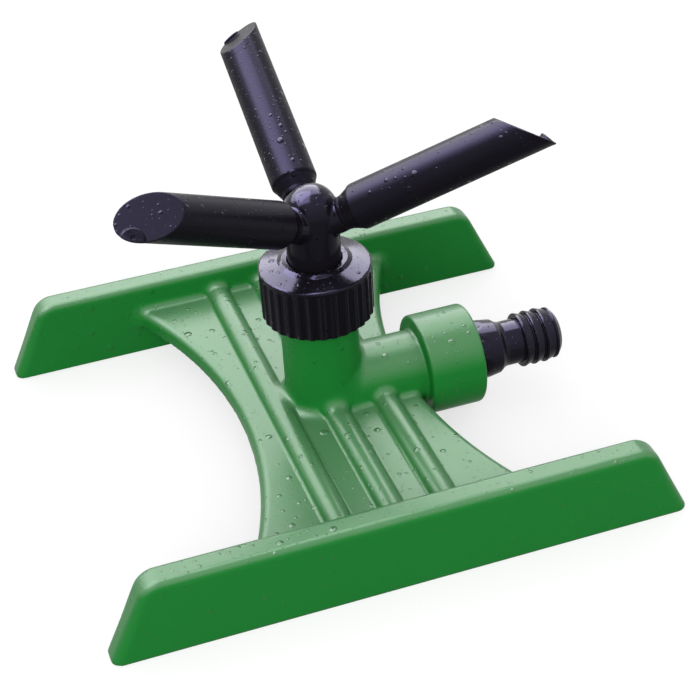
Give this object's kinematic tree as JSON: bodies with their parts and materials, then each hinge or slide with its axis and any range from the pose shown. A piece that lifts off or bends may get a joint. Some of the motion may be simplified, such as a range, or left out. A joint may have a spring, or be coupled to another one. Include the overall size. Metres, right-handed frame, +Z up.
{
  "type": "rotary lawn sprinkler",
  "caption": "Rotary lawn sprinkler with upswept tubular arms on a hollow stem, held by a fluted nut on the tower of an H-shaped sled base with a barbed hose tail.",
  "frame": {"origin": "on the rotor's axis at ground level, the bottom centre of the part's box", "axes": "+X along the sleds towards the hose tail, +Z up along the rotor's axis"},
  "size_m": [0.205, 0.18, 0.1349],
  "materials": {
    "green_plastic": "gloss",
    "black_plastic": "gloss",
    "seal_rubber": "matte",
    "bearing_plastic": "satin"
  },
  "bodies": {
    "stand": {"base": "green_plastic", "inlet_nipple": "black_plastic", "inlet_washer": "seal_rubber", "nut_gasket": "seal_rubber", "tower_bush": "bearing_plastic", "lower_thrust_washer": "bearing_plastic"},
    "rotor": {"spindle": "bearing_plastic", "spindle_oring": "seal_rubber", "rotor_hub": "black_plastic", "arm_seal_1": "seal_rubber", "arm_seal_2": "seal_rubber", "arm_seal_3": "seal_rubber"},
    "first_arm": {"arm_1": "black_plastic", "arm_cap_1": "black_plastic"},
    "second_arm": {"arm_2": "black_plastic", "arm_cap_2": "black_plastic"},
    "third_arm": {"arm_3": "black_plastic", "arm_cap_3": "black_plastic"},
    "nut_washer": {"upper_thrust_washer": "bearing_plastic"},
    "nut": {"cap_nut": "black_plastic"}
  },
  "joints": [
    {"name": "rotor_spin", "type": "hinge", "parent": "stand", "child": "rotor", "pos_m": [0, 0, 0.0711], "axis": [0, 0, 1], "continuous": true},
    {"name": "first_arm_twist", "type": "hinge", "parent": "rotor", "child": "first_arm", "pos_m": [0.01038, -0.00566, 0.09632], "axis": [0.7686, -0.4191, 0.4833], "continuous": true},
    {"name": "second_arm_twist", "type": "hinge", "parent": "rotor", "child": "second_arm", "pos_m": [-0.00029, 0.01182, 0.09632], "axis": [-0.0214, 0.8752, 0.4833], "continuous": true},
    {"name": "third_arm_twist", "type": "hinge", "parent": "rotor", "child": "third_arm", "pos_m": [-0.01009, -0.00616, 0.09632], "axis": [-0.7473, -0.4561, 0.4833], "continuous": true},
    {"name": "nut_rise", "type": "slide", "parent": "stand", "child": "nut_washer", "axis": [0, 0, 1], "range_m": [0, 0.008]},
    {"name": "nut_turn", "type": "hinge", "parent": "nut_washer", "child": "nut", "pos_m": [0, 0, 0.0726], "axis": [0, 0, 1], "range_deg": [0, 1440]}
  ],
  "couplings": [
    {"joint": "nut_rise", "follows": "nut_turn", "m_per_rad": 0.00031831}
  ]
}
